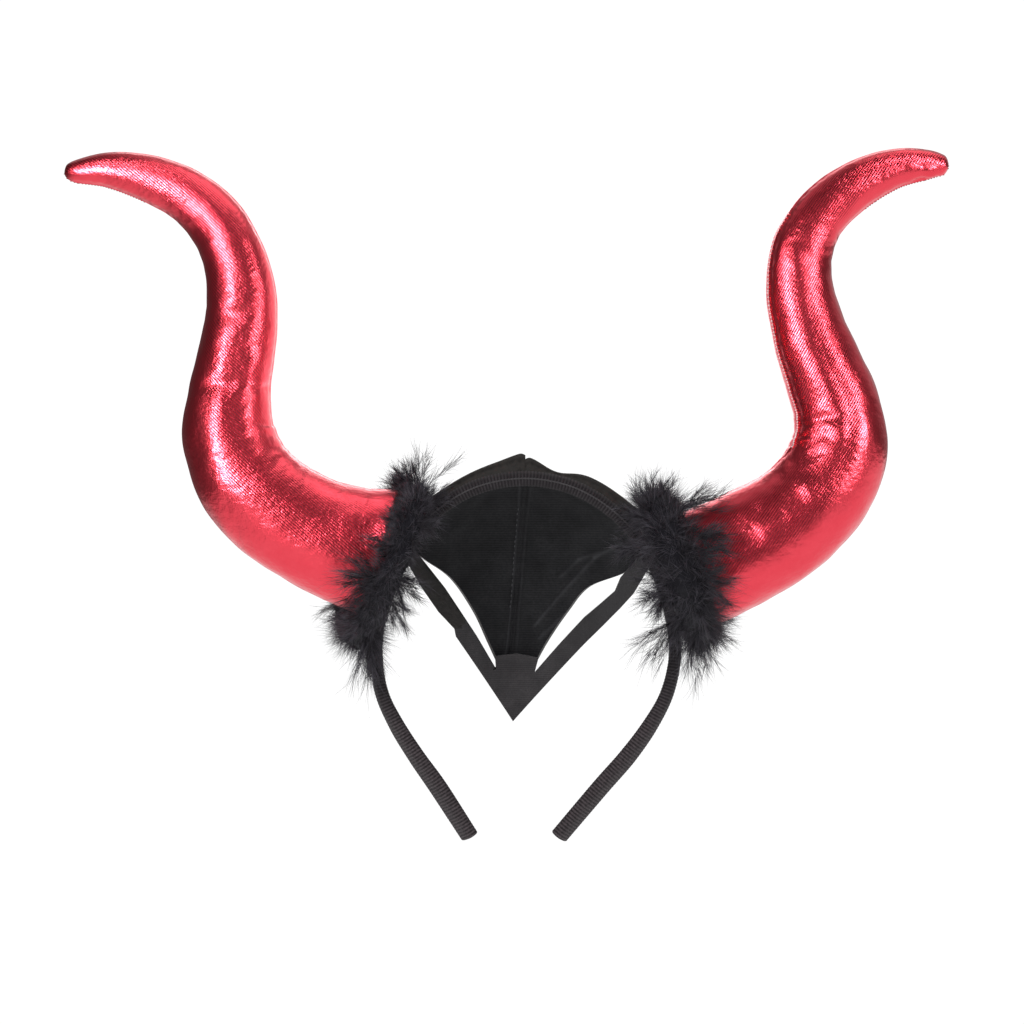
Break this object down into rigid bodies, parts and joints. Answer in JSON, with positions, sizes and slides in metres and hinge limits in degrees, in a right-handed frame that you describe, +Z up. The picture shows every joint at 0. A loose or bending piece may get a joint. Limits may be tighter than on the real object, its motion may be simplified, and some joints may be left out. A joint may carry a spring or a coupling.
{
  "type": "ox horn headband",
  "caption": "Knit-covered headband with stuffed red metallic S-shaped horns, black down trims at their bases, and a pointed black hood with a felt brow chevron.",
  "frame": {"origin": "middle of the band's inner face, where it sits on top of the head", "axes": "+X to the right seen from behind the wearer, +Y to the wearer's front, +Z up"},
  "size_m": [0.3542, 0.1069, 0.2774],
  "materials": {
    "ribbed_knit": "tight black ribbed knit",
    "hood_cloth": "coated cloth, smooth outside and brushed inside",
    "brow_felt": "charcoal felt",
    "red_foil_cloth": "red metallic foil on a twill cloth",
    "black_down": "black marabou down"
  },
  "bodies": {
    "root": {"headband": "ribbed_knit", "front_panel_left": "hood_cloth", "front_panel_right": "hood_cloth", "brow_chevron": "brow_felt", "horn_left": "red_foil_cloth", "horn_right": "red_foil_cloth", "feather_trim_left": "black_down", "feather_trim_right": "black_down"}
  },
  "joints": []
}
